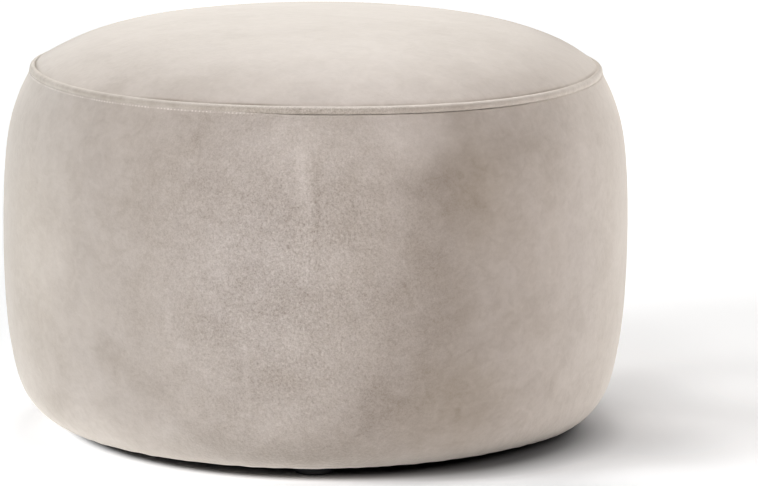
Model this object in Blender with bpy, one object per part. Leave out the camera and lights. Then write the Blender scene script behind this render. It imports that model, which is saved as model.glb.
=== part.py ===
"""A round upholstered pouf: a crowned top and a bulging side, joined by a piped seam, on four glides.

Metres, +Z up. The origin is on the floor under the middle of the pouf, and -Y is its front.
Each upholstered piece is one filled solid in its true, taut shape. Pieces lie a hair's gap apart.
"""

import math

import bmesh
import bpy
import numpy as np

GAP = 0.0003

# Overall size
HEIGHT = 0.4065
WIDEST_RADIUS = 0.310
UNDERSIDE_HEIGHT = 0.010

# The seam between top and side. Both panels are hollowed to hold its piping.
PIPING_RADIUS = 0.0037
PIPING_CIRCLE = 0.2788
PIPING_HEIGHT = 0.3544
HOLLOW_RADIUS = PIPING_RADIUS + GAP
LEDGE_HEIGHT = PIPING_HEIGHT - HOLLOW_RADIUS
TOP_HOLLOW_TURNS = (180, 156, 132, 108)
SIDE_HOLLOW_TURNS = (-45, -60, -75, -90)

# How much lower than its middle the seam sits at +X, and higher at -X
SEAM_FALL = 0.0022

# The crown of the top panel
CROWN_RADIUS = 0.2776
CROWN_BOW = 0.0209
CROWN_SHOULDER = 0.0275
SHOULDER_POWER = 6
RIM_BEVEL = 0.0018

# Under the pouf
TUCK_RADIUS = 0.2566
CLOTH_TOP = UNDERSIDE_HEIGHT - GAP
CLOTH_THICKNESS = 0.0015
CLOTH_RADIUS = 0.249
FOOT_HEIGHT = CLOTH_TOP - CLOTH_THICKNESS - GAP
FOOT_RADIUS = 0.020
FOOT_CIRCLE = 0.225
FOOT_EDGE = 0.0015

# How finely the round forms are cut
TURN_STEPS = 72
PIPING_SIDES = 12
FOOT_STEPS = 32
CROWN_RINGS = 16
CROWN_RING_SPREAD = 1.3
RINGS_PER_SECTION = 2
SHARP_ANGLE = math.radians(40)

# The side's outline, from the tuck under the pouf up to the seam
SIDE_SECTIONS = (
    # height, radius
    (0.0100, TUCK_RADIUS),
    (0.0112, 0.2625),
    (0.0150, 0.2699),
    (0.0240, 0.2811),
    (0.0400, 0.2919),
    (0.0620, 0.2992),
    (0.1000, 0.3058),
    (0.1450, 0.3091),
    (0.1900, WIDEST_RADIUS),
    (0.2350, 0.3091),
    (0.2750, 0.3063),
    (0.3050, 0.3013),
    (0.3300, 0.2929),
    (0.3460, 0.2852),
    (0.3508, 0.2827),
)

FEET = (
    # name, degrees round from +X
    ("foot_right", 0),
    ("foot_back", 90),
    ("foot_left", 180),
    ("foot_front", 270),
)

MATERIALS = {
    # name: colour, roughness
    "velvet": ((0.50, 0.44, 0.39), 0.85),
    "piping_velvet": ((0.52, 0.46, 0.41), 0.80),
    "black_cloth": ((0.012, 0.012, 0.013), 0.95),
    "black_plastic": ((0.018, 0.018, 0.019), 0.45),
}


def clear_scene():
    for obj in list(bpy.data.objects):
        bpy.data.objects.remove(obj, do_unlink=True)


def make_material(name):
    colour, roughness = MATERIALS[name]
    material = bpy.data.materials.new(name)
    material.use_nodes = True
    shader = material.node_tree.nodes["Principled BSDF"]
    shader.inputs["Base Color"].default_value = (*colour, 1.0)
    shader.inputs["Roughness"].default_value = roughness
    shader.inputs["Metallic"].default_value = 0.0
    return material


def smooth_line(points, steps):
    """A Catmull-Rom curve through the points, with this many steps between neighbours."""
    points = np.array(points)
    before_first = 2 * points[0] - points[1]
    after_last = 2 * points[-1] - points[-2]
    guides = np.vstack([before_first, points, after_last])
    line = []
    for a, b, c, d in zip(guides, guides[1:], guides[2:], guides[3:]):
        for t in np.arange(steps) / steps:
            square = (2 * a - 5 * b + 4 * c - d) * t**2
            cube = (3 * b - a - 3 * c + d) * t**3
            line.append((2 * b + (c - a) * t + square + cube) / 2)
    line.append(points[-1])
    return line


def crown_height(radius):
    share = radius / CROWN_RADIUS
    return HEIGHT - CROWN_BOW * share**2 - CROWN_SHOULDER * share**SHOULDER_POWER


def piping_hollow(turns):
    """Points of the hollow round the piping, at angles in degrees from outwards, counted upwards."""
    points = []
    for degrees in turns:
        angle = math.radians(degrees)
        radius = PIPING_CIRCLE + HOLLOW_RADIUS * math.cos(angle)
        points.append((radius, PIPING_HEIGHT + HOLLOW_RADIUS * math.sin(angle)))
    return points


def lean(point):
    """The cover sits a little lower towards +X, in step with height."""
    fall_per_metre = SEAM_FALL / (PIPING_HEIGHT * WIDEST_RADIUS)
    return (point.x, point.y, point.z * (1 - fall_per_metre * point.x))


def turned_mesh(outline, steps, closed=False):
    """A mesh of the (radius, height) outline turned round Z. A point at radius 0 becomes a pole."""
    mesh = bmesh.new()
    turns = [2 * math.pi * step / steps for step in range(steps)]
    rings = []
    for radius, height in outline:
        if radius == 0:
            rings.append([mesh.verts.new((0, 0, height))] * steps)
        else:
            rings.append([mesh.verts.new((radius * math.cos(a), radius * math.sin(a), height)) for a in turns])
    pairs = list(zip(rings, rings[1:]))
    if closed:
        pairs.append((rings[-1], rings[0]))
    for low, high in pairs:
        for step in range(steps):
            after = (step + 1) % steps
            corners = dict.fromkeys([low[step], low[after], high[after], high[step]])
            mesh.faces.new(list(corners))
    bmesh.ops.recalc_face_normals(mesh, faces=mesh.faces)
    return mesh


def add_piece(name, mesh, material, location=(0, 0, 0)):
    data = bpy.data.meshes.new(name)
    mesh.to_mesh(data)
    mesh.free()
    data.shade_smooth()
    data.set_sharp_from_angle(angle=SHARP_ANGLE)
    data.materials.append(material)
    piece = bpy.data.objects.new(name, data)
    piece.location = location
    bpy.context.scene.collection.objects.link(piece)


def add_cover_piece(name, mesh, material):
    for vert in mesh.verts:
        vert.co = lean(vert.co)
    add_piece(name, mesh, material)


def add_side_panel(velvet):
    """The filled side: tucked under at the foot, fullest at mid height and drawn in to the seam."""
    side = [(radius, height) for height, radius in smooth_line(SIDE_SECTIONS, RINGS_PER_SECTION)]
    hollow = piping_hollow(SIDE_HOLLOW_TURNS)
    outline = [(0, UNDERSIDE_HEIGHT), *side, *hollow, (0, LEDGE_HEIGHT)]
    add_cover_piece("side_panel", turned_mesh(outline, TURN_STEPS), velvet)


def add_top_panel(velvet):
    """The filled top: a flat base on the side's ledge, a hollowed rim over the piping, and the crown."""
    base = LEDGE_HEIGHT + GAP
    hollow = piping_hollow(TOP_HOLLOW_TURNS)
    rim = [(hollow[0][0] - RIM_BEVEL, base), (hollow[0][0], base + RIM_BEVEL), *hollow]
    shares = [1 - (ring / CROWN_RINGS) ** CROWN_RING_SPREAD for ring in range(1, CROWN_RINGS)]
    crown = [(CROWN_RADIUS * share, crown_height(CROWN_RADIUS * share)) for share in shares]
    outline = [(0, base), *rim, *crown, (0, HEIGHT)]
    add_cover_piece("top_panel", turned_mesh(outline, TURN_STEPS), velvet)


def add_piping(velvet):
    """The covered cord that stands in the seam, all the way round."""
    section = []
    for side in range(PIPING_SIDES):
        angle = 2 * math.pi * side / PIPING_SIDES
        radius = PIPING_CIRCLE + PIPING_RADIUS * math.cos(angle)
        section.append((radius, PIPING_HEIGHT + PIPING_RADIUS * math.sin(angle)))
    add_cover_piece("piping", turned_mesh(section, TURN_STEPS, closed=True), velvet)


def add_base_cloth(cloth):
    """The dark cloth over the underside, inside the tucked edge of the side."""
    bottom = CLOTH_TOP - CLOTH_THICKNESS
    outline = [(0, bottom), (CLOTH_RADIUS, bottom), (CLOTH_RADIUS, CLOTH_TOP), (0, CLOTH_TOP)]
    add_piece("base_cloth", turned_mesh(outline, TURN_STEPS), cloth)


def add_foot(name, degrees, plastic):
    """A low round glide with a softened lower edge."""
    outline = [
        (0, 0),
        (FOOT_RADIUS - FOOT_EDGE, 0),
        (FOOT_RADIUS, FOOT_EDGE),
        (FOOT_RADIUS, FOOT_HEIGHT),
        (0, FOOT_HEIGHT),
    ]
    angle = math.radians(degrees)
    place = (FOOT_CIRCLE * math.cos(angle), FOOT_CIRCLE * math.sin(angle), 0)
    add_piece(name, turned_mesh(outline, FOOT_STEPS), plastic, location=place)


def main():
    clear_scene()
    velvet = make_material("velvet")
    add_side_panel(velvet)
    add_top_panel(velvet)
    add_piping(make_material("piping_velvet"))
    add_base_cloth(make_material("black_cloth"))
    plastic = make_material("black_plastic")
    for name, degrees in FEET:
        add_foot(name, degrees, plastic)


main()
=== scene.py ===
"""The looks of a round velvet pouf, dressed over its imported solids, with its floor, lights and camera.

Metres, in the frame of the solids: +Z up, the origin on the floor under the middle, -Y to the front.
"""

import math

import bpy
import numpy as np
from mathutils import Matrix, Vector, noise


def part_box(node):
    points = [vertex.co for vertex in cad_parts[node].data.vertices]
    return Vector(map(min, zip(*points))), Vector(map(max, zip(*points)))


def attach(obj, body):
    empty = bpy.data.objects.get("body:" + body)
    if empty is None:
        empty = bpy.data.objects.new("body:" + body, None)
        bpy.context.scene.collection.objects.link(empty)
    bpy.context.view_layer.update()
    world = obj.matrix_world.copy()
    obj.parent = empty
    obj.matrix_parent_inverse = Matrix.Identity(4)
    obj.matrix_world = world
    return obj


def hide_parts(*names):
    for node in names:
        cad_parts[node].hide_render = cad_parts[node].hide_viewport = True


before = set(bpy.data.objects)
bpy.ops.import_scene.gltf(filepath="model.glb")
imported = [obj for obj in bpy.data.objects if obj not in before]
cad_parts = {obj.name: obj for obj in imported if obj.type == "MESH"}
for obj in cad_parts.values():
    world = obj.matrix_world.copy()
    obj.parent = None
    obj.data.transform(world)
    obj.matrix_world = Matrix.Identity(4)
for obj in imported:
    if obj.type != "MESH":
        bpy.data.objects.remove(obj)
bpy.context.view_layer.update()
BODY = "root"

# Camera: the photo is 758 pixels wide, and the pouf's axis stands left of its middle
PHOTO_WIDTH = 758
AXIS_COLUMN = 314.75
FOCAL_PIXELS = 4086.84
SENSOR_WIDTH = 36.0
CAMERA_DISTANCE = 4.0
CAMERA_HEIGHT = 0.9417
CAMERA_PITCH = math.radians(10.8227)
CAMERA_CLIP = (0.1, 100)

# How finely the cloth is modelled
TURN_STEPS = 720
RING_SPACING = 0.0042
HOLLOW_SPACING = RING_SPACING / 4
PIPING_SIDES = 20
GLIDE_STEPS = 96
BASE_RINGS = 12
SMOOTH_UNDER = math.radians(50)

# How closely points of the solids agree, and how far the piping's hollow reaches, in cord radii
TOLERANCE = 1e-5
DECIMALS = 6
HOLLOW_REACH = 1.15

# The closing seam runs up the back of the side
BACK = math.pi / 2
CLOSING_SEAM_STEPS = 14
CLOSING_SEAM_SPAN = 2
CLOSING_SEAM_WIDTH = 0.0016
CLOSING_SEAM_DEPTH = 0.0018
CLOSING_SEAM_SWELL = 0.0006
CLOSING_SEAM_SWELL_WIDTH = 0.008

# The closing seam's depth at the tuck, as a share, and the length in which that grows by a whole
CLOSING_SEAM_AT_TUCK = 0.2
CLOSING_SEAM_RISE = 0.02

# Unevenness of cloth pulled over foam: how far it stands in or out, and over what length
BROAD_SWELL = 0.0005
BROAD_SWELL_SIZE = 0.13
SEAM_PUCKER = 0.00025
SEAM_PUCKER_SIZE = 0.011
SEAM_PUCKER_REACH = 0.010
TUCK_PUCKER = 0.0008
TUCK_PUCKER_SIZE = 0.016
TUCK_PUCKER_REACH = 0.012

# The unevenness fades in over these lengths from the edges. At the tuck it starts part of the way.
SIDE_FADE = 0.003
SIDE_FADE_START = 0.002
TOP_FADE = 0.008

# The flat hidden rings of the cloth, as shares of the radius of its edge
UNDER_SIDE = (0.6, 0.85, 0.97)
ON_LEDGE = (0.985, 0.8, 0.5)
UNDER_TOP = (0.5, 0.9)

# Each seed moves its noise this far along each axis, so that no two are alike
SEED_SHIFT = (1.0, 2.3, 5.1)

# How far the crevices beside the piping stand open round the seam: 1 as in the solids, 0 drawn shut
CREVICES = (
    # degrees from the front towards +X, under the piping, over the piping
    (-180, 0.5, 0.6),
    (-135, 0.3, 0.7),
    (-95, 0.2, 0.9),
    (-78, 0.1, 0.9),
    (-62, 0.1, 0.3),
    (-36, 0.1, 0.3),
    (-28, 0.1, 0.8),
    (-16, 0.2, 0.9),
    (-4, 1.0, 0.9),
    (42, 1.0, 0.9),
    (54, 0.4, 0.9),
    (80, 0.3, 0.8),
    (130, 0.6, 0.5),
    (180, 0.5, 0.6),
)

# How the lips beside the piping move outwards and upwards, drawn shut and standing open
LIP_REACH = 0.003
SIDE_LIP_SHUT = (0.0006, 0.0013)
SIDE_LIP_OPEN = (0.0, -0.0010)
TOP_LIP_SHUT = (0.0009, 0.0)
TOP_LIP_OPEN = (-0.0009, -0.0005)

# The cover's tucked edge hangs lower over a part of the foot, outside the base cloth
SAG = 0.0045
SAG_MIDDLE = 80
SAG_REACH = 38
SAG_FULL = SAG_REACH / 6
SAG_TOP = (0.11, 0.03)
SAG_RADIUS = (0.252, 0.262)

# The cover has settled a little towards +X, the more the higher, and its crown lies nearly level
SETTLED_LEAN = 0.75
PUSH = 0.0045
CROWN_LEVEL = (0.003, 0.020)

# The seam sits a little lower between the front, the sides and the back, where the cloth is on the bias
SEAM_DIP = 0.0013
SEAM_DIP_RISE = (0.26, 0.34)

# The piping's cover, and the lap at the back where its ends meet
PIPING_WANDER = 0.00018
PIPING_WANDER_SIZE = 0.035
PIPING_LUMP = 0.0001
PIPING_LUMP_SIZE = 0.006
PIPING_FILL = 0.0002
PIPING_LAP_LENGTH = 0.018
PIPING_LAP_RISE = 0.00035

# Base cloth: its turned edge is thicker than the rest
HEM_WIDTH = 0.012
HEM_STEP = 0.0006
HEM_SLOPE = 0.001
BASE_SPREAD = (0.1, 0.9)
BASE_RIPPLE = 0.0002
BASE_RIPPLE_SIZE = 0.03

# Glides
GLIDE_ROUNDING = 0.0014
GLIDE_LINE_DEPTH = 0.0002
GLIDE_LINE_WIDTH = 0.0008
GLIDE_LINE_LEVEL = 0.6
GLIDE_FLAT = 0.5


# Reading the solids
def front_meridian(node):
    """The (radius, height) outline of a turned solid in front of its axis, from its foot to its top."""
    points = set()
    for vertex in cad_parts[node].data.vertices:
        x, y, z = vertex.co
        if abs(x) < TOLERANCE and y < TOLERANCE:
            points.add((abs(round(y, DECIMALS)), round(z, DECIMALS)))
    points = np.array(list(points))
    middle = (points.min(axis=0) + points.max(axis=0)) / 2
    across, up = (points - middle).T
    return points[np.argsort(np.arctan2(up, across))]


def cord_section():
    """The piping's circle, the height of its middle, and its radius."""
    section = front_meridian("piping")
    low, high = section.min(axis=0), section.max(axis=0)
    circle, middle = (low + high) / 2
    return circle, middle, (high[0] - low[0]) / 2


CORD_CIRCLE, CORD_MIDDLE, CORD_RADIUS = cord_section()


def parted_at_cord(outline):
    """The outline before the hollow that the piping lies in, the hollow, and the outline after it."""
    reach = np.hypot(*(outline - (CORD_CIRCLE, CORD_MIDDLE)).T)
    hollow = np.flatnonzero(reach < HOLLOW_REACH * CORD_RADIUS)
    first, after = hollow[0], hollow[-1] + 1
    return outline[:first], outline[first:after], outline[after:]


def measured_lean(node):
    """By what share of its height a solid ring falls for each metre towards +X."""
    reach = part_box(node)[1].x
    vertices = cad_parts[node].data.vertices
    right = np.mean([v.co.z for v in vertices if v.co.x > reach - TOLERANCE])
    left = np.mean([v.co.z for v in vertices if v.co.x < TOLERANCE - reach])
    return (left - right) / (left + right) / reach


LEAN = SETTLED_LEAN * measured_lean("piping")
SIDE_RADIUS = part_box("side_panel")[1].x


# Shapes
def smooth_line(points, spacing):
    """A Catmull-Rom curve through the points, in steps of about this length."""
    points = np.array(points, float)
    guides = np.vstack([2 * points[0] - points[1], points, 2 * points[-1] - points[-2]])
    line = []
    for a, b, c, d in zip(guides, guides[1:], guides[2:], guides[3:]):
        steps = max(2, math.ceil(np.linalg.norm(c - b) / spacing))
        for t in np.arange(steps) / steps:
            square = (2 * a - 5 * b + 4 * c - d) * t**2
            cube = (3 * b - a - 3 * c + d) * t**3
            line.append((2 * b + (c - a) * t + square + cube) / 2)
    line.append(points[-1])
    return np.array(line)


def arc(centre, radius, start, end, steps=6):
    """Points on an arc of an outline, between two angles in degrees from outwards, counted upwards."""
    turns = np.radians(np.linspace(start, end, steps + 1))
    return [(centre[0] + radius * math.cos(t), centre[1] + radius * math.sin(t)) for t in turns]


def even_turns(steps):
    return 2 * math.pi * np.arange(steps) / steps


def turns_with_seam(radius):
    """Even turns, with closer ones added beside the closing seam at the back."""
    span = CLOSING_SEAM_SPAN
    beside = np.linspace(-span, span, CLOSING_SEAM_STEPS * 2 + 1) * CLOSING_SEAM_WIDTH / radius
    return np.unique(np.round(np.concatenate([even_turns(TURN_STEPS), BACK + beside]), 7))


def soft_noise(points, size, seed):
    """Smooth noise between about -1 and 1 at each point, in lumps of about this size."""
    shift = Vector([step * seed for step in SEED_SHIFT])
    flat = np.asarray(points).reshape(-1, 3)
    values = [noise.noise(Vector(point) / size + shift) for point in flat]
    return np.array(values).reshape(np.asarray(points).shape[:-1])


def round_noise(turns, radius, size, seed):
    """Smooth noise along a circle, in lumps of about this size."""
    circle = np.stack([radius * np.cos(turns), radius * np.sin(turns), np.zeros_like(turns)], axis=-1)
    return soft_noise(circle, size, seed)


def turned_points(outline, turns):
    """The points of the (radius, height) outline turned round Z, as a grid of rings."""
    radii = outline[:, 0][:, None]
    heights = outline[:, 1][:, None] * np.ones_like(turns)
    return np.stack([radii * np.cos(turns), radii * np.sin(turns), heights], axis=-1)


def outline_normals(outline):
    along = np.gradient(outline, axis=0)
    along /= np.linalg.norm(along, axis=1)[:, None]
    return np.stack([along[:, 1], -along[:, 0]], axis=1)


def arc_lengths(outline):
    steps = np.linalg.norm(np.diff(outline, axis=0), axis=1)
    return np.concatenate([[0], np.cumsum(steps)])


def raised_points(outline, turns, relief):
    """The turned grid with each point pushed out along the outline's normal by its relief."""
    normals = outline_normals(outline)
    radii = outline[:, 0][:, None] + relief * normals[:, 0][:, None]
    heights = outline[:, 1][:, None] + relief * normals[:, 1][:, None]
    return np.stack([radii * np.cos(turns), radii * np.sin(turns), heights], axis=-1)


def crevice_opening(turns, column):
    """How far a crevice beside the piping stands open at each turn, by its column in the table."""
    table = np.array(CREVICES)
    from_front = np.degrees(turns) + 90
    return np.interp((from_front + 180) % 360 - 180, table[:, 0], table[:, column])


def lip_shift(outline, lip, opening, shut, wide):
    """How far each point of a turned outline moves, where its lip is drawn shut or stands open."""
    lengths = arc_lengths(outline)
    near = np.exp(-(((lengths - lengths[lip]) / LIP_REACH) ** 2))[:, None]
    radial = near * (shut[0] * (1 - opening[1]) + wide[0] * opening[1])
    upward = near * (shut[1] * (1 - opening[1]) + wide[1] * opening[1])
    turns = opening[0]
    return np.stack([radial * np.cos(turns), radial * np.sin(turns), upward], axis=-1)


def soft_step(value, start, end):
    share = np.clip((value - start) / (end - start), 0, 1)
    return share * share * (3 - 2 * share)


def sagged(grid):
    """The grid of the side with its foot hanging lower over a part of the way round."""
    x, y, z = np.moveaxis(grid, -1, 0)
    from_middle = np.abs(np.degrees(np.arctan2(x, -y)) - SAG_MIDDLE)
    share = soft_step(from_middle, SAG_REACH, SAG_FULL)
    share = share * soft_step(z, *SAG_TOP) * soft_step(np.hypot(x, y), *SAG_RADIUS)
    return np.stack([x, y, z - SAG * share], axis=-1)


def leaned(points):
    """The points of the cover, leaned towards +X, with its seam lower where the cloth is on the bias.

    Up to the seam they sit lower towards +X, and with height they are pushed that way.
    """
    x, y, z = np.moveaxis(np.array(points), -1, 0)
    start, end = CROWN_LEVEL
    below_crown = 1 - soft_step(z, CORD_MIDDLE + start, CORD_MIDDLE + end)
    bias = 4 * (x * y) ** 2 / (x * x + y * y) ** 2
    dip = SEAM_DIP * bias * soft_step(z, *SEAM_DIP_RISE)
    return np.stack([x + PUSH * z, y, z - (LEAN * x * z + dip) * below_crown], axis=-1)


def grid_faces(rings, steps, closed=False):
    faces = []
    for ring in range(rings if closed else rings - 1):
        low = ring * steps
        high = (ring + 1) % rings * steps
        for step in range(steps):
            after = (step + 1) % steps
            faces.append((low + step, low + after, high + after, high + step))
    return faces


def flat_rings(shares, edge):
    """Outline points level with an edge of the cloth, at these shares of its radius."""
    return np.array([(share * edge[0], edge[1]) for share in shares])


def add_mesh(name, points, faces, material):
    data = bpy.data.meshes.new(name)
    data.from_pydata([tuple(point) for point in points], [], faces)
    data.validate()
    data.shade_smooth()
    data.set_sharp_from_angle(angle=SMOOTH_UNDER)
    data.materials.append(material)
    piece = bpy.data.objects.new(name, data)
    bpy.context.scene.collection.objects.link(piece)
    return piece


def add_turned_form(name, grid, material, foot, top):
    """A closed piece from a grid of rings, with a pole under the first ring and one over the last."""
    rings, steps = grid.shape[:2]
    points = [*grid.reshape(-1, 3), (0, 0, foot), (0, 0, top)]
    foot_pole = rings * steps
    top_pole = foot_pole + 1
    last = (rings - 1) * steps
    faces = grid_faces(rings, steps)
    for step in range(steps):
        after = (step + 1) % steps
        faces.append((foot_pole, after, step))
        faces.append((last + step, last + after, top_pole))
    return add_mesh(name, points, faces, material)


# Materials. A spot reaches this far at right angles to its own plane, which makes no difference there.
SPOT_DEPTH = 100


def new_material(name):
    material = bpy.data.materials.new(name)
    material.use_nodes = True
    nodes = material.node_tree.nodes
    return material, nodes, material.node_tree.links, nodes["Principled BSDF"]


def add_bump(nodes, links, shader, height, strength, distance):
    bump = nodes.new("ShaderNodeBump")
    bump.inputs["Strength"].default_value = strength
    bump.inputs["Distance"].default_value = distance
    links.new(height, bump.inputs["Height"])
    links.new(bump.outputs["Normal"], shader.inputs["Normal"])


def add_shaded_colour(nodes, links, shader, colour, share):
    """The shader's base colour, made lighter and darker by a number field."""
    tint = add_node(nodes, "ShaderNodeVectorMath", operation="SCALE")
    tint.inputs[0].default_value = colour
    links.new(share, tint.inputs["Scale"])
    links.new(tint.outputs["Vector"], shader.inputs["Base Color"])


def add_node(nodes, kind, **settings):
    node = nodes.new(kind)
    for name, value in settings.items():
        setattr(node, name, value)
    return node


class Field:
    """A small helper that builds one material's number fields out of object-space textures."""

    def __init__(self, nodes, links):
        self.nodes = nodes
        self.links = links
        self.place = nodes.new("ShaderNodeTexCoord").outputs["Object"]

    def math(self, operation, *values, clamp=False):
        node = add_node(self.nodes, "ShaderNodeMath", operation=operation, use_clamp=clamp)
        for socket, value in zip(node.inputs, values):
            self.feed(value, socket)
        return node.outputs[0]

    def feed(self, value, socket):
        if isinstance(value, (int, float)):
            socket.default_value = value
        else:
            self.links.new(value, socket)

    def add(self, *values):
        total = values[0]
        for value in values[1:]:
            total = self.math("ADD", total, value)
        return total

    def scaled(self, value, amount):
        return self.math("MULTIPLY", value, amount)

    def ramp(self, value, start, end):
        """0 up to the start and 1 from the end on, with a soft rise between.

        The start may be the higher of the two.
        """
        node = add_node(self.nodes, "ShaderNodeMapRange", interpolation_type="SMOOTHSTEP")
        self.feed(value, node.inputs["Value"])
        node.inputs["From Min"].default_value = start
        node.inputs["From Max"].default_value = end
        return node.outputs["Result"]

    def stretched(self, x=1, y=1, z=1, shift=0):
        node = self.nodes.new("ShaderNodeMapping")
        self.links.new(self.place, node.inputs["Vector"])
        node.inputs["Location"].default_value = [step * shift for step in SEED_SHIFT]
        node.inputs["Scale"].default_value = (x, y, z)
        return node.outputs["Vector"]

    def unrolled(self, radius):
        """The way round from the front in metres and the height: as one vector, and each alone."""
        parts = self.nodes.new("ShaderNodeSeparateXYZ")
        self.links.new(self.place, parts.inputs[0])
        x, y, z = parts.outputs
        way_round = self.scaled(self.math("ARCTAN2", x, self.scaled(y, -1.0)), radius)
        level = self.math("DIVIDE", z, self.math("SUBTRACT", 1.0, self.scaled(x, LEAN)))
        square = self.add(self.math("MULTIPLY", x, x), self.math("MULTIPLY", y, y))
        share = self.math("DIVIDE", self.math("MULTIPLY", x, y), square)
        level = self.add(level, self.scaled(self.math("MULTIPLY", share, share), 4 * SEAM_DIP))
        flat = self.nodes.new("ShaderNodeCombineXYZ")
        self.links.new(way_round, flat.inputs[0])
        self.links.new(level, flat.inputs[1])
        return flat.outputs[0], way_round, level

    def distance(self, x, y):
        """How far a point of the floor lies from this place on it."""
        away = add_node(self.nodes, "ShaderNodeVectorMath", operation="DISTANCE")
        self.links.new(self.place, away.inputs[0])
        away.inputs[1].default_value = (x, y, 0)
        return away.outputs["Value"]

    def noise(self, size, detail=2.0, roughness=0.5, place=None, distortion=0.0):
        """Noise centred on zero, mostly within -0.5 to 0.5, in lumps of about this size in metres."""
        node = self.nodes.new("ShaderNodeTexNoise")
        self.links.new(self.place if place is None else place, node.inputs["Vector"])
        node.inputs["Scale"].default_value = 1 / size
        node.inputs["Detail"].default_value = detail
        node.inputs["Roughness"].default_value = roughness
        node.inputs["Distortion"].default_value = distortion
        return self.math("SUBTRACT", node.outputs["Fac"], 0.5)

    def spot(self, place, centre, reach, turn):
        """A soft spot, 1 at its centre and 0 beyond its reach, turned by some degrees."""
        node = self.nodes.new("ShaderNodeMapping")
        node.vector_type = "TEXTURE"
        self.links.new(place, node.inputs["Vector"])
        node.inputs["Location"].default_value = (*centre, 0)
        node.inputs["Rotation"].default_value = (0, 0, math.radians(turn))
        node.inputs["Scale"].default_value = (*reach, SPOT_DEPTH)
        length = add_node(self.nodes, "ShaderNodeVectorMath", operation="LENGTH")
        self.links.new(node.outputs["Vector"], length.inputs[0])
        return self.ramp(length.outputs["Value"], 1.0, 0.0)


VELVET_COLOUR = (0.510, 0.436, 0.384)
# The piping is the same velvet, painted a little lighter to stand in for the light on its cord
LIT_PIPING_COLOUR = (0.53, 0.46, 0.40)

# How much the colour moves with the nap, and how much more where the nap is darker: painted shade that
# stands in for the sheen it loses there
NAP_SWING = (0.48, 0.48, 0.48)
SHEEN_LOSS_SHADE = 0.25
SHEEN_COLOUR = (1.0, 0.955, 0.88)
SHEEN_ROUGHNESS = 0.7
VELVET_SPECULAR = 0.1
VELVET_ROUGHNESS = 0.9
ROUGHNESS_SWING = 0.3

# The velvet wanders a little between cooler and warmer, and is one or the other in places of the side
WARM_SWING = (0.0, -0.006, -0.022)
WARM_WANDER = (
    # size, strength
    (0.010, 0.5),
    (0.030, 0.6),
)
WARM_MARKS = (
    # degrees from the front, height, half width, half length, turn, strength
    (26.0, 0.075, 0.090, 0.075, 0, 0.8),
    (30.0, 0.280, 0.055, 0.090, 0, 0.7),
    (-62.0, 0.200, 0.120, 0.160, 0, 0.9),
    (-12.0, 0.220, 0.120, 0.200, 0, -0.6),
    (56.0, 0.200, 0.070, 0.200, 0, -0.4),
)

# The nap takes the light unevenly, in patches of several sizes
NAP_TONES = (
    # size, stretch up the side, strength, wander
    (0.120, 1.3, 0.14, 0.3),
    (0.045, 1.1, 0.26, 0.8),
    (0.017, 0.8, 0.25, 1.2),
    (0.006, 0.7, 0.12, 0.5),
)
NAP_SHIFT = 0.7

# The grain of the pile: single tufts catch the light or lie in shade
GRAIN_TONES = (
    # size, strength
    (0.0030, 0.036),
    (0.0016, 0.048),
    (0.0010, 0.056),
)

# The lie of the pile, as bumps of several sizes
PILE_BUMPS = (
    # size, slope
    (0.0060, 0.035),
    (0.0140, 0.022),
    (0.0350, 0.022),
)
GRAIN_BUMPS = (
    # size, slope
    (0.0014, 0.05),
    (0.0028, 0.05),
)
BUMP_SHIFT = 3.0

# The front of the side has its pile brushed up, so its grain is coarser there
RAISED_PILE_CENTRE = (-0.03, 0.20)
RAISED_PILE_REACH = (0.22, 0.30)
RAISED_PIPING_CENTRE = (0.0, 0.354)
RAISED_PIPING_REACH = (0.16, 0.2)
RAISED_PILE_TONE = 9.0
RAISED_PILE_BUMP = 7.7
SIDE_PILE = 0.4
TOP_PILE = 0.35
PIPING_PILE = 0.8
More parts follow.
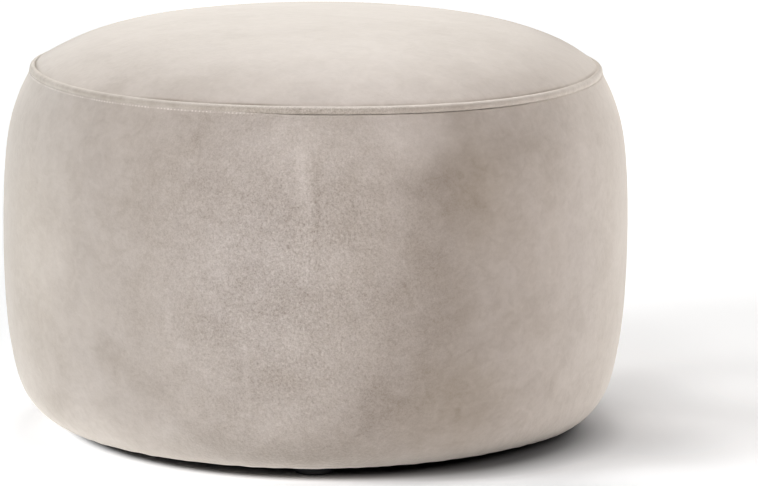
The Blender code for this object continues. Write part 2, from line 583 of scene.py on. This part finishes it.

# Rubbed and pressed places on the side, among them broad painted light and shade: lighter high on the
# front, darker round the left of the foot and right of the middle
NAP_AND_LIGHT_MARKS = (
    # degrees from the front, height, half width, half length, turn, tone
    (17.0, 0.335, 0.070, 0.050, 0, 0.28),
    (-3.0, 0.325, 0.090, 0.060, 0, 0.26),
    (3.0, 0.215, 0.090, 0.040, 0, 0.12),
    (-1.0, 0.145, 0.090, 0.045, 0, 0.16),
    (-6.0, 0.070, 0.080, 0.040, 0, 0.13),
    (28.0, 0.250, 0.085, 0.130, 0, -0.10),
    (22.0, 0.085, 0.130, 0.090, 0, -0.07),
    (11.0, 0.265, 0.045, 0.050, 0, 0.08),
    (30.0, 0.150, 0.050, 0.060, 0, 0.06),
    (-17.0, 0.120, 0.040, 0.040, 0, 0.07),
    (44.0, 0.320, 0.090, 0.070, 0, -0.16),
    (-62.0, 0.020, 0.130, 0.060, 0, -0.16),
    (-85.0, 0.060, 0.120, 0.110, 0, -0.28),
    (-60.0, 0.090, 0.100, 0.090, 0, -0.18),
    (-64.0, 0.030, 0.110, 0.035, 0, -0.16),
    (-84.0, 0.180, 0.060, 0.080, 0, -0.10),
    (-70.0, 0.165, 0.050, 0.100, 0, -0.08),
    (-52.0, 0.195, 0.040, 0.035, 0, 0.10),
    (-39.0, 0.115, 0.040, 0.030, 0, -0.12),
    (-28.5, 0.048, 0.040, 0.020, 0, 0.10),
    (-17.5, 0.225, 0.035, 0.060, 0, 0.10),
    (-9.0, 0.300, 0.045, 0.050, 0, -0.05),
    (-8.5, 0.240, 0.040, 0.035, 0, 0.12),
    (1.0, 0.024, 0.050, 0.028, 0, -0.11),
    (8.0, 0.250, 0.060, 0.030, 0, -0.05),
    (20.0, 0.020, 0.050, 0.020, 0, 0.12),
    (23.0, 0.240, 0.050, 0.060, 0, 0.08),
    (64.0, 0.190, 0.055, 0.110, 0, -0.09),
    (64.0, 0.070, 0.050, 0.050, 0, -0.09),
    (76.0, 0.110, 0.100, 0.090, 0, -0.12),
    (-28.0, 0.096, 0.055, 0.032, 0, -0.11),
    (-18.0, 0.022, 0.050, 0.022, 0, 0.14),
    (24.0, 0.290, 0.060, 0.060, 0, -0.12),
    (30.0, 0.205, 0.050, 0.055, 0, 0.16),
    (-1.8, 0.290, 0.012, 0.080, 4, 0.13),
    (-20.0, 0.200, 0.016, 0.004, 0, -0.11),
    (-19.0, 0.186, 0.018, 0.003, 4, 0.11),
    (-21.0, 0.150, 0.016, 0.004, 0, -0.10),
    (-24.0, 0.134, 0.014, 0.004, -6, 0.13),
    (-26.0, 0.165, 0.005, 0.030, 0, 0.10),
    (-12.0, 0.110, 0.006, 0.050, 3, 0.11),
    (9.0, 0.300, 0.016, 0.020, -30, 0.11),
    (-34.0, 0.280, 0.110, 0.120, 0, -0.10),
    (-74.0, 0.220, 0.090, 0.200, 0, -0.10),
    (0.4, 0.270, 0.006, 0.070, 0, -0.13),
    (-2.6, 0.285, 0.010, 0.050, 0, 0.07),
    (-21.7, 0.330, 0.007, 0.016, -10, -0.11),
    (48.2, 0.076, 0.013, 0.020, -25, -0.10),
    (26.6, 0.070, 0.006, 0.010, -20, -0.10),
    (42.6, 0.045, 0.008, 0.010, -45, -0.08),
    (46.0, 0.027, 0.005, 0.010, -50, -0.11),
    (27.8, 0.128, 0.006, 0.0022, 20, -0.16),
)

# Right of the middle a stroke of painted shade, whose edge slopes up the side like the edge of the key
# light's shade
STROKE_FOOT = 0.019
STROKE_SLOPE = 0.285
STROKE_EDGE = (-0.010, 0.010)
STROKE_END = (0.27, 0.17)
STROKE_TOP = (0.335, 0.300)
STROKE_WANDER = 0.03
STROKE_WANDER_SIZE = 0.05
STROKE_SHADE = -0.09

# Painted shade: the side is painted a little darker at its foot, where it turns under and less light
# reaches it
FOOT_SHADE = -0.14
FOOT_START = 0.060
FOOT_END = 0.015

# Lighter and darker places on the top: the broad ones are painted light and shade, lighter at the front
# and near the rim at the sides, and the small dark ones are smudges
TOP_MARKS_AND_LIGHT = (
    # x, y, half width, half length, turn, tone
    (0.03, -0.25, 0.26, 0.22, 0, 0.34),
    (-0.185, -0.165, 0.035, 0.050, 0, -0.08),
    (-0.205, -0.120, 0.020, 0.060, 30, -0.06),
    (-0.120, -0.235, 0.080, 0.030, -20, -0.12),
    (-0.010, -0.262, 0.030, 0.030, 0, -0.09),
    (0.060, -0.180, 0.050, 0.060, 20, 0.06),
    (-0.080, -0.120, 0.070, 0.090, 40, -0.06),
    (0.120, -0.100, 0.090, 0.120, -30, -0.05),
    (0.240, -0.050, 0.080, 0.150, 15, 0.26),
    (-0.240, -0.030, 0.050, 0.100, 0, 0.14),
    (-0.255, -0.030, 0.040, 0.060, 0, 0.10),
    (-0.180, -0.192, 0.045, 0.022, 0, -0.08),
    (-0.090, -0.225, 0.090, 0.035, 0, -0.10),
    (0.180, -0.150, 0.070, 0.060, 30, 0.12),
    (0.250, 0.000, 0.045, 0.090, 0, 0.14),
    (0.060, 0.190, 0.140, 0.070, 0, -0.06),
)

# Painted shade in the crevice between the piping and the top, darker in some places than others
SEAM_SHADES = (
    # degrees from the front, height, half width, half length, turn, tone
    (-86.0, 0.3584, 0.060, 0.0024, 0, -0.60),
    (-30.0, 0.3584, 0.070, 0.0018, 0, -0.35),
    (-12.0, 0.3584, 0.060, 0.0018, 0, -0.55),
    (14.0, 0.3584, 0.080, 0.0016, 0, -0.25),
    (38.0, 0.3584, 0.080, 0.0018, 0, -0.35),
    (56.0, 0.3584, 0.080, 0.0018, 0, -0.40),
    (75.0, 0.3584, 0.070, 0.0020, 0, -0.60),
    (120.0, 0.3584, 0.200, 0.0018, 0, -0.35),
    (-140.0, 0.3584, 0.200, 0.0018, 0, -0.35),
)

# Painted highlight: the piping's cover is stretched over the crest of its cord at the front, and is
# painted paler there where it catches the light
CREST_HIGHLIGHT = 0.40
CREST_START = 0.0016
CREST_END = 0.0032
CREST_CENTRE = (0.03, 0.3544)
CREST_REACH = (0.32, 0.10)
# Painted shade: the piping is painted darker towards the left, where the lamps light it more
PIPING_SHADES = (
    # degrees from the front, height, half width, half length, turn, tone
    (-80.0, 0.354, 0.200, 0.05, 0, -0.22),
    (-38.0, 0.354, 0.120, 0.05, 0, -0.10),
)

# Painted highlight: the velvet is folded sharply at the foot, and is painted lighter there where it
# catches the light
RIM_HIGHLIGHT = 0.60
RIM_START = 0.0142
RIM_END = 0.0115

# The row of stitches under the piping, where the crevice there is drawn shut
STITCH_PITCH = 0.0040
STITCH_HEIGHT = 0.3512
STITCH_REACH = 0.0009
STITCH_TONE = 0.55
THREAD_TONE = 0.16
STITCH_CORE = 0.3
STITCH_START = (-0.03, -0.10)
STITCH_RISE = (0.2, 1.1)
STITCH_WANDER = 5.0
STITCH_WANDER_SIZE = 0.011


def marks_round(field, place, radius, table):
    """The sum of a table's marks, laid out by the way round from the front and the height."""
    total = 0.0
    for degrees, height, across, along, turn, tone in table:
        centre = (math.radians(degrees) * radius, height)
        spot = field.spot(place, centre, (across, along), turn)
        total = field.add(total, field.scaled(spot, tone))
    return total


def stitches(field, way_round, level):
    """A thread with light dots along it at the seam, on the side where the crevice is shut."""
    beat = field.math("COSINE", field.scaled(way_round, 2 * math.pi / STITCH_PITCH))
    uneven = field.scaled(field.noise(STITCH_WANDER_SIZE), STITCH_WANDER)
    dots = field.ramp(field.add(beat, uneven), *STITCH_RISE)
    row = field.add(field.scaled(dots, STITCH_TONE), THREAD_TONE)
    off_row = field.math("ABSOLUTE", field.math("SUBTRACT", level, STITCH_HEIGHT))
    in_row = field.ramp(off_row, STITCH_REACH, STITCH_REACH * STITCH_CORE)
    where = field.ramp(way_round, *STITCH_START)
    return field.math("MULTIPLY", field.math("MULTIPLY", row, in_row), where)


def painted_shade_stroke(field, way_round, level):
    """1 inside the stroke of painted shade right of the middle, and 0 outside it."""
    edge = field.add(way_round, field.scaled(level, -STROKE_SLOPE), -STROKE_FOOT)
    edge = field.add(edge, field.scaled(field.noise(STROKE_WANDER_SIZE), STROKE_WANDER))
    inside = field.math("MULTIPLY", field.ramp(edge, *STROKE_EDGE), field.ramp(way_round, *STROKE_END))
    return field.math("MULTIPLY", inside, field.ramp(level, *STROKE_TOP))


def pile_heights(field, bumps, pile):
    """Heights in metres of the bumps in a table, each as steep as its slope says."""
    heights = []
    for number, (size, slope) in enumerate(bumps):
        place = field.stretched(shift=BUMP_SHIFT + number)
        heights.append(field.scaled(field.noise(size, 0.0, place=place), 2 * slope * size * pile))
    return heights


def top_marks_and_light(field):
    """The sum of the marks on the top, laid out by their place over it."""
    total = 0.0
    for x, y, across, along, turn, tone in TOP_MARKS_AND_LIGHT:
        spot = field.spot(field.place, (x, y), (across, along), turn)
        total = field.add(total, field.scaled(spot, tone))
    return total


def noises(field, detail, table):
    """The sum of plain noises, each with its size and strength in the table."""
    return field.add(*(field.scaled(field.noise(size, detail), strength) for size, strength in table))


def coarser(field, value, raised, gain):
    """The value, stronger by the gain where the pile is raised."""
    return field.math("MULTIPLY", value, field.add(1.0, field.scaled(raised, gain)))


def velvet(name, part, pile, colour=VELVET_COLOUR):
    """Short-pile velvet: a nap that takes the light unevenly, a fine grain, and sheen at its edges."""
    material, nodes, links, shader = new_material(name)
    field = Field(nodes, links)
    tones = []
    for number, (size, stretch, strength, wander) in enumerate(NAP_TONES):
        place = field.stretched(z=1 / stretch, shift=number * NAP_SHIFT)
        tones.append(field.scaled(field.noise(size, 1.0, place=place, distortion=wander), strength))
    grain = noises(field, 0.0, GRAIN_TONES)
    height = field.add(*pile_heights(field, GRAIN_BUMPS, pile))
    warmth = noises(field, 1.0, WARM_WANDER)
    if part == "top":
        tones.append(top_marks_and_light(field))
        tones.append(marks_round(field, field.unrolled(CORD_CIRCLE)[0], CORD_CIRCLE, SEAM_SHADES))
    if part == "piping":
        place, _, level = field.unrolled(CORD_CIRCLE)
        crest = field.ramp(level, CORD_MIDDLE + CREST_START, CORD_MIDDLE + CREST_END)
        at_front = field.spot(place, CREST_CENTRE, CREST_REACH, 0)
        tones.append(field.scaled(field.math("MULTIPLY", crest, at_front), CREST_HIGHLIGHT))
        tones.append(marks_round(field, place, CORD_CIRCLE, PIPING_SHADES))
        raised = field.spot(place, RAISED_PIPING_CENTRE, RAISED_PIPING_REACH, 0)
        grain = coarser(field, grain, raised, RAISED_PILE_TONE)
    if part == "side":
        place, way_round, level = field.unrolled(SIDE_RADIUS)
        raised = field.spot(place, RAISED_PILE_CENTRE, RAISED_PILE_REACH, 0)
        grain = coarser(field, grain, raised, RAISED_PILE_TONE)
        height = coarser(field, height, raised, RAISED_PILE_BUMP)
        warmth = field.add(warmth, marks_round(field, place, SIDE_RADIUS, WARM_MARKS))
        tones.append(marks_round(field, place, SIDE_RADIUS, NAP_AND_LIGHT_MARKS))
        tones.append(stitches(field, way_round, level))
        tones.append(field.scaled(painted_shade_stroke(field, way_round, level), STROKE_SHADE))
        tones.append(field.scaled(field.ramp(level, FOOT_START, FOOT_END), FOOT_SHADE))
        tones.append(field.scaled(field.ramp(level, RIM_START, RIM_END), RIM_HIGHLIGHT))
    # The nap's tones, with the painted light and shade of the marks among them
    nap = field.add(grain, *tones)
    shaded = field.scaled(field.math("MINIMUM", nap, 0.0), SHEEN_LOSS_SHADE)
    hue = add_node(nodes, "ShaderNodeVectorMath", operation="MULTIPLY_ADD")
    links.new(warmth, hue.inputs[0])
    hue.inputs[1].default_value = WARM_SWING
    hue.inputs[2].default_value = colour
    tint = add_node(nodes, "ShaderNodeVectorMath", operation="MULTIPLY_ADD")
    links.new(field.add(nap, shaded), tint.inputs[0])
    tint.inputs[1].default_value = NAP_SWING
    links.new(hue.outputs["Vector"], tint.inputs[2])
    links.new(tint.outputs["Vector"], shader.inputs["Base Color"])

    rough = field.math("ADD", field.scaled(nap, ROUGHNESS_SWING), VELVET_ROUGHNESS, clamp=True)
    links.new(rough, shader.inputs["Roughness"])
    shader.inputs["Diffuse Roughness"].default_value = 1.0
    shader.inputs["Specular IOR Level"].default_value = VELVET_SPECULAR
    shader.inputs["Sheen Weight"].default_value = 1.0
    shader.inputs["Sheen Roughness"].default_value = SHEEN_ROUGHNESS
    shader.inputs["Sheen Tint"].default_value = (*SHEEN_COLOUR, 1.0)

    height = field.add(height, *pile_heights(field, PILE_BUMPS, pile))
    add_bump(nodes, links, shader, height, 1.0, 1.0)
    return material


# The base cloth: pressed dots to the metre, how uneven they are, and the loose fibres between them
CLOTH_COLOUR = (0.014, 0.014, 0.015)
CLOTH_ROUGHNESS = 0.92
CLOTH_SHEEN = 0.1
CLOTH_DOTS = 520
CLOTH_DOT_WANDER = 0.15
CLOTH_DOT_STRETCH = 0.6
CLOTH_DOT_EDGE = 0.4
FIBRE_SIZE = 0.004
FIBRE_STRETCH = (0.25, 1.6)
FIBRE_HEIGHT = 0.5
CLOTH_SHADE = 0.8
CLOTH_SHADE_SWING = 0.6
CLOTH_BUMP = (0.5, 0.0004)

# The glides' plastic: its grain, and the scuffs that shade it and dull it
PLASTIC_COLOUR = (0.018, 0.018, 0.019)
PLASTIC_ROUGHNESS = 0.45
PLASTIC_GRAIN = 0.0005
SCUFF_SIZE = 0.006
SCUFF_DETAIL = (4.0, 0.65)
SCUFF_STRETCH = 3.0
SCUFF_SHADE = 0.8
SCUFF_ROUGHNESS = 0.35
PLASTIC_BUMP = (0.25, 0.0001)


def bonded_cloth(name):
    """Thin black non-woven cloth with its pressed dots and loose fibres."""
    material, nodes, links, shader = new_material(name)
    field = Field(nodes, links)
    dots = add_node(nodes, "ShaderNodeTexVoronoi", feature="F1")
    dots.inputs["Scale"].default_value = CLOTH_DOTS
    dots.inputs["Randomness"].default_value = CLOTH_DOT_WANDER
    links.new(field.stretched(y=CLOTH_DOT_STRETCH), dots.inputs["Vector"])
    fibres = field.noise(FIBRE_SIZE, 3.0, place=field.stretched(*FIBRE_STRETCH))
    pressed = field.math("MINIMUM", dots.outputs["Distance"], CLOTH_DOT_EDGE)
    height = field.add(pressed, field.scaled(fibres, FIBRE_HEIGHT))
    shade = field.math("ADD", field.scaled(height, CLOTH_SHADE_SWING), CLOTH_SHADE)
    add_shaded_colour(nodes, links, shader, CLOTH_COLOUR, shade)
    shader.inputs["Roughness"].default_value = CLOTH_ROUGHNESS
    shader.inputs["Sheen Weight"].default_value = CLOTH_SHEEN
    add_bump(nodes, links, shader, height, *CLOTH_BUMP)
    return material


def moulded_plastic(name):
    """Satin black plastic with a fine spark-eroded grain and faint scuffs."""
    material, nodes, links, shader = new_material(name)
    field = Field(nodes, links)
    grain = field.noise(PLASTIC_GRAIN)
    scuffs = field.noise(SCUFF_SIZE, *SCUFF_DETAIL, place=field.stretched(x=SCUFF_STRETCH))
    shade = field.math("ADD", field.scaled(scuffs, SCUFF_SHADE), 1.0)
    add_shaded_colour(nodes, links, shader, PLASTIC_COLOUR, shade)
    rough = field.math("ADD", field.scaled(scuffs, SCUFF_ROUGHNESS), PLASTIC_ROUGHNESS)
    links.new(rough, shader.inputs["Roughness"])
    add_bump(nodes, links, shader, grain, *PLASTIC_BUMP)
    return material


# Pieces
def dress(piece, node):
    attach(piece, BODY)
    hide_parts(node)


def add_side(material):
    """The side of the cover: puckered a little at seam and tuck, with its closing seam at the back."""
    swell_side, hollow, _ = parted_at_cord(front_meridian("side_panel")[1:-1])
    outer = smooth_line([*swell_side, hollow[0]], RING_SPACING)
    lip = len(outer) - 1
    outer = np.concatenate([outer[:-1], smooth_line(hollow, HOLLOW_SPACING)])
    foot = outer[0, 1]
    ledge = outer[-1, 1]
    widest = outer[:, 0].max()
    turns = turns_with_seam(widest)

    seam_distance = np.maximum(0, arc_lengths(outer)[lip] - arc_lengths(outer))
    tuck_distance = arc_lengths(outer)
    at_seam = np.exp(-seam_distance / SEAM_PUCKER_REACH)[:, None]
    at_tuck = np.exp(-tuck_distance / TUCK_PUCKER_REACH)[:, None]
    seam_folds = SEAM_PUCKER * round_noise(turns, widest, SEAM_PUCKER_SIZE, 1.0)
    tuck_folds = TUCK_PUCKER * round_noise(turns, widest, TUCK_PUCKER_SIZE, 2.0)
    relief = at_seam * seam_folds + at_tuck * tuck_folds
    relief += BROAD_SWELL * soft_noise(turned_points(outer, turns), BROAD_SWELL_SIZE, 3.0)
    across = (turns - BACK) * widest
    groove = -CLOSING_SEAM_DEPTH * np.exp(-((across / CLOSING_SEAM_WIDTH) ** 2))
    swell = CLOSING_SEAM_SWELL * np.exp(-((across / CLOSING_SEAM_SWELL_WIDTH) ** 2))
    depth = np.minimum(1, CLOSING_SEAM_AT_TUCK + tuck_distance / CLOSING_SEAM_RISE)
    relief += (groove + swell) * depth[:, None]
    end_distance = np.minimum(seam_distance, tuck_distance + SIDE_FADE_START)
    relief *= np.minimum(1, end_distance / SIDE_FADE)[:, None]

    opening = (turns, crevice_opening(turns, 1))
    lip_moves = lip_shift(outer, lip, opening, SIDE_LIP_SHUT, SIDE_LIP_OPEN)
    grid = np.concatenate(
        [
            turned_points(flat_rings(UNDER_SIDE, outer[0]), turns),
            raised_points(outer, turns, relief) + lip_moves,
            turned_points(flat_rings(ON_LEDGE, outer[-1]), turns),
        ]
    )
    side = add_turned_form("side_cloth", leaned(sagged(grid)), material, foot, ledge)
    dress(side, "side_panel")


def add_top(material):
    """The top of the cover, crowned by the foam under it and drawn down to the seam."""
    base_rim, hollow, crown = parted_at_cord(front_meridian("top_panel")[1:])
    base = base_rim[0, 1]
    hidden = [*base_rim, *smooth_line(hollow, HOLLOW_SPACING)[:-1]]
    lip = len(hidden)
    outline = np.concatenate([hidden, smooth_line([hollow[-1], *crown], RING_SPACING)[:-1]])
    rim_distance = np.abs(arc_lengths(outline) - arc_lengths(outline)[lip])
    turns = even_turns(TURN_STEPS)
    widest = outline[:, 0].max()

    at_rim = np.exp(-rim_distance / SEAM_PUCKER_REACH)[:, None]
    relief = at_rim * SEAM_PUCKER * round_noise(turns, widest, SEAM_PUCKER_SIZE, 4.0)
    relief += BROAD_SWELL * soft_noise(turned_points(outline, turns), BROAD_SWELL_SIZE, 5.0)
    relief *= np.minimum(1, rim_distance / TOP_FADE)[:, None]
    relief[:lip] = 0
    inner = turned_points(flat_rings(UNDER_TOP, outline[0]), turns)
    opening = (turns, crevice_opening(turns, 2))
    lip_moves = lip_shift(outline, lip, opening, TOP_LIP_SHUT, TOP_LIP_OPEN)
    raised = raised_points(outline, turns, relief) + lip_moves
    grid = np.concatenate([inner, raised])
    top = add_turned_form("top_cloth", leaned(grid), material, base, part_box("top_panel")[1].z)
    dress(top, "top_panel")


def add_piping(material):
    """The covered cord: a little uneven along its run, with its ends lapped at the back."""
    turns = even_turns(TURN_STEPS * 2)
    across = (turns - BACK) * CORD_CIRCLE
    lap = PIPING_LAP_RISE * np.exp(-((across / PIPING_LAP_LENGTH) ** 4))
    lumps = PIPING_LUMP * round_noise(turns, CORD_CIRCLE, PIPING_LUMP_SIZE, 6.0)
    thickness = CORD_RADIUS + PIPING_FILL + lap + lumps
    sideways = PIPING_WANDER * round_noise(turns, CORD_CIRCLE, PIPING_WANDER_SIZE, 7.0)
    upwards = PIPING_WANDER * round_noise(turns, CORD_CIRCLE, PIPING_WANDER_SIZE, 8.0)
    rings = []
    for side in range(PIPING_SIDES):
        angle = 2 * math.pi * side / PIPING_SIDES
        radius = CORD_CIRCLE + sideways + thickness * math.cos(angle)
        height = CORD_MIDDLE + upwards + thickness * math.sin(angle)
        rings.append(np.stack([radius * np.cos(turns), radius * np.sin(turns), height], axis=-1))
    grid = leaned(np.array(rings))
    faces = grid_faces(PIPING_SIDES, len(turns), closed=True)
    piping = add_mesh("piping_cord", grid.reshape(-1, 3), faces, material)
    dress(piping, "piping")


def add_base_cloth(material):
    """The black cloth under the pouf, turned in at its edge and a little slack inside it."""
    low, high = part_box("base_cloth")
    radius = high.x
    edge = (high.z - low.z) / 2
    hem = [
        (radius - HEM_WIDTH - HEM_SLOPE, low.z + HEM_STEP),
        (radius - HEM_WIDTH, low.z),
        (radius - edge, low.z),
        *arc((radius - edge, low.z + edge), edge, -60, 90),
    ]
    radii = np.linspace(*BASE_SPREAD, BASE_RINGS) * (radius - HEM_WIDTH)
    under = [(ring_radius, low.z + HEM_STEP) for ring_radius in radii]
    over = [(ring_radius, high.z) for ring_radius in radii[::-1]]
    outline = np.array([*under, *hem, *over])
    turns = even_turns(TURN_STEPS // 3)
    grid = turned_points(outline, turns)
    slack = BASE_RIPPLE * soft_noise(grid[: len(under)], BASE_RIPPLE_SIZE, 9.0)
    grid[: len(under), :, 2] += slack
    cloth = add_turned_form("base_sheet", grid, material, low.z + HEM_STEP, high.z)
    dress(cloth, "base_cloth")


def add_glide(node, material):
    """A low round glide with a softened foot and a fine moulding line round it."""
    low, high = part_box(node)
    centre = (low + high) / 2
    radius = (high.x - low.x) / 2
    line = low.z + GLIDE_LINE_LEVEL * (high.z - low.z)
    outline = [
        (radius * GLIDE_FLAT, low.z),
        (radius - GLIDE_ROUNDING, low.z),
        *arc((radius - GLIDE_ROUNDING, low.z + GLIDE_ROUNDING), GLIDE_ROUNDING, -75, 0),
        (radius, line - GLIDE_LINE_WIDTH / 2),
        (radius - GLIDE_LINE_DEPTH, line),
        (radius, line + GLIDE_LINE_WIDTH / 2),
        *arc((radius - GLIDE_ROUNDING / 2, high.z - GLIDE_ROUNDING / 2), GLIDE_ROUNDING / 2, 0, 90),
        (radius * GLIDE_FLAT, high.z),
    ]
    grid = turned_points(np.array(outline), even_turns(GLIDE_STEPS))
    glide = add_turned_form(node.replace("foot", "glide"), grid, material, low.z, high.z)
    glide.data.transform(Matrix.Translation((centre.x, centre.y, 0)))
    dress(glide, node)


# Stage. The floor glows towards white, but not under the pouf and little in its soft shadow: painted
# light, uneven near the pouf. Its colour carries a painted shadow under the pouf and painted shadow
# spots in its soft shadow.
FLOOR_REACH = 12.0
FLOOR_DROP = 0.0002
FLOOR_COLOUR = (0.892, 0.90, 0.906)
FLOOR_GLOW = 0.20
# Painted light: spots where the floor glows more, the widest to the left of the pouf
GLOW_SPOTS = (
    # x, y, reach, strength
    (-0.29, -0.18, 0.52, 0.34),
    (0.42, 0.115, 0.13, 0.13),
    (0.30, -0.24, 0.09, 0.09),
)
UNDER_CENTRE = (0.018, 0.0)
UNDER_EDGE = (0.252, 0.272)
CONTACT_SHADOW_CENTRE = (0.09, -0.065)
CONTACT_SHADOW_REACH = (0.225, 0.15)
CONTACT_SHADOW_DEPTH = 0.75
UNLIT_CENTRE = (0.30, 0.08)
UNLIT_EDGE = (0.05, 0.33)
# Painted shadow: soft darker spots of the floor in the pouf's shadow to its right
SHADOW_SPOTS = (
    # x, y, reach, depth
    (0.32, 0.10, 0.16, 0.18),
    (0.33, -0.11, 0.12, 0.13),
    (0.34, 0.38, 0.14, 0.09),
)
FAR_GLOW = 0.75
FAR_START = 0.8
FAR_END = 4.0


def floor_spots(field, table):
    """Soft round spots of the floor, each as strong at its centre as its table says."""
    spots = []
    for x, y, reach, strength in table:
        spots.append(field.scaled(field.ramp(field.distance(x, y), reach, 0.0), strength))
    return field.add(*spots)


def add_floor():
    """A wide pale floor, just under the glides."""
    data = bpy.data.meshes.new("floor")
    signs = ((-1, -1), (1, -1), (1, 1), (-1, 1))
    corners = [(x * FLOOR_REACH, y * FLOOR_REACH, -FLOOR_DROP) for x, y in signs]
    data.from_pydata(corners, [], [(0, 1, 2, 3)])
    material, nodes, links, shader = new_material("floor_paint")
    shader.inputs["Roughness"].default_value = 1.0
    shader.inputs["Specular IOR Level"].default_value = 0.0
    shader.inputs["Emission Color"].default_value = (1.0, 1.0, 1.0, 1.0)
    field = Field(nodes, links)
    # Painted shadow: the floor is painted darker under the pouf
    contact_shadow = field.ramp(field.distance(*CONTACT_SHADOW_CENTRE), *CONTACT_SHADOW_REACH)
    open_floor = field.math("SUBTRACT", 1.0, field.scaled(contact_shadow, CONTACT_SHADOW_DEPTH))
    # Painted shadow: the floor's colour darkened in the spots of the pouf's soft shadow
    unshaded = field.math("SUBTRACT", 1.0, floor_spots(field, SHADOW_SPOTS))
    share = field.math("MULTIPLY", open_floor, unshaded)
    add_shaded_colour(nodes, links, shader, FLOOR_COLOUR, share)

    # Painted light: the floor's glow near the pouf, faded in its shadow and lifted in spots
    lit = field.ramp(field.distance(*UNLIT_CENTRE), *UNLIT_EDGE)
    near = field.add(field.scaled(lit, FLOOR_GLOW), floor_spots(field, GLOW_SPOTS))
    near = field.math("MULTIPLY", near, field.ramp(field.distance(*UNDER_CENTRE), *UNDER_EDGE))
    near = field.math("MULTIPLY", near, open_floor)
    far = field.scaled(field.ramp(field.distance(0, 0), FAR_START, FAR_END), FAR_GLOW)
    links.new(field.add(near, far), shader.inputs["Emission Strength"])
    data.materials.append(material)
    floor = bpy.data.objects.new("floor", data)
    bpy.context.scene.collection.objects.link(floor)


LIGHTS = (
    # name, degrees from the front towards +X, degrees up, size, watts, colour
    ("key_left", -67, 25, 0.8, 46.0, (0.94, 0.97, 1.0)),
    ("key_soft", -48, 30, 1.2, 7.0, (1.0, 1.0, 1.0)),
    ("front_fill", 40, 30, 1.4, 32.0, (1.0, 0.95, 0.94)),
    ("right_rim", 120, 30, 1.4, 26.0, (1.0, 1.0, 1.0)),
    ("back_high", 180, 59, 1.6, 46.0, (1.0, 0.98, 0.96)),
)
LIGHT_DISTANCE = 3.0
LIGHT_AIM = (0, 0, 0.2)
WORLD_STRENGTH = 0.0


def add_lights():
    middle = Vector(LIGHT_AIM)
    for name, round_degrees, up_degrees, size, watts, colour in LIGHTS:
        turn, rise = math.radians(round_degrees), math.radians(up_degrees)
        level = math.cos(rise)
        towards = Vector((math.sin(turn) * level, -math.cos(turn) * level, math.sin(rise)))
        data = bpy.data.lights.new(name, "AREA")
        data.shape = "DISK"
        data.size = size
        data.energy = watts
        data.color = colour
        light = bpy.data.objects.new(name, data)
        light.location = middle + LIGHT_DISTANCE * towards
        light.rotation_euler = (-towards).to_track_quat("-Z", "Y").to_euler()
        bpy.context.scene.collection.objects.link(light)
    world = bpy.data.worlds.new("studio")
    world.use_nodes = True
    background = world.node_tree.nodes["Background"]
    background.inputs["Color"].default_value = (1.0, 1.0, 1.0, 1.0)
    background.inputs["Strength"].default_value = WORLD_STRENGTH
    bpy.context.scene.world = world


def add_camera():
    data = bpy.data.cameras.new("camera")
    data.sensor_width = SENSOR_WIDTH
    data.lens = FOCAL_PIXELS * SENSOR_WIDTH / PHOTO_WIDTH
    data.clip_start, data.clip_end = CAMERA_CLIP
    camera = bpy.data.objects.new("camera", data)
    camera.location = (0, -CAMERA_DISTANCE, CAMERA_HEIGHT)
    yaw = math.atan((PHOTO_WIDTH / 2 - AXIS_COLUMN) / FOCAL_PIXELS)
    tilt = Matrix.Rotation(math.pi / 2 - CAMERA_PITCH, 3, "X")
    camera.rotation_euler = (tilt @ Matrix.Rotation(-yaw, 3, "Y")).to_euler()
    bpy.context.scene.collection.objects.link(camera)
    bpy.context.scene.camera = camera


def main():
    add_camera()
    add_floor()
    add_lights()
    add_side(velvet("side_velvet", "side", SIDE_PILE))
    add_top(velvet("top_velvet", "top", TOP_PILE))
    add_piping(velvet("piping_velvet_wrap", "piping", PIPING_PILE, colour=LIT_PIPING_COLOUR))
    add_base_cloth(bonded_cloth("base_nonwoven"))
    plastic = moulded_plastic("glide_plastic")
    for node in ("foot_front", "foot_right", "foot_back", "foot_left"):
        add_glide(node, plastic)
    view = bpy.context.scene.view_settings
    view.view_transform = "Standard"
    view.look = "None"


main()
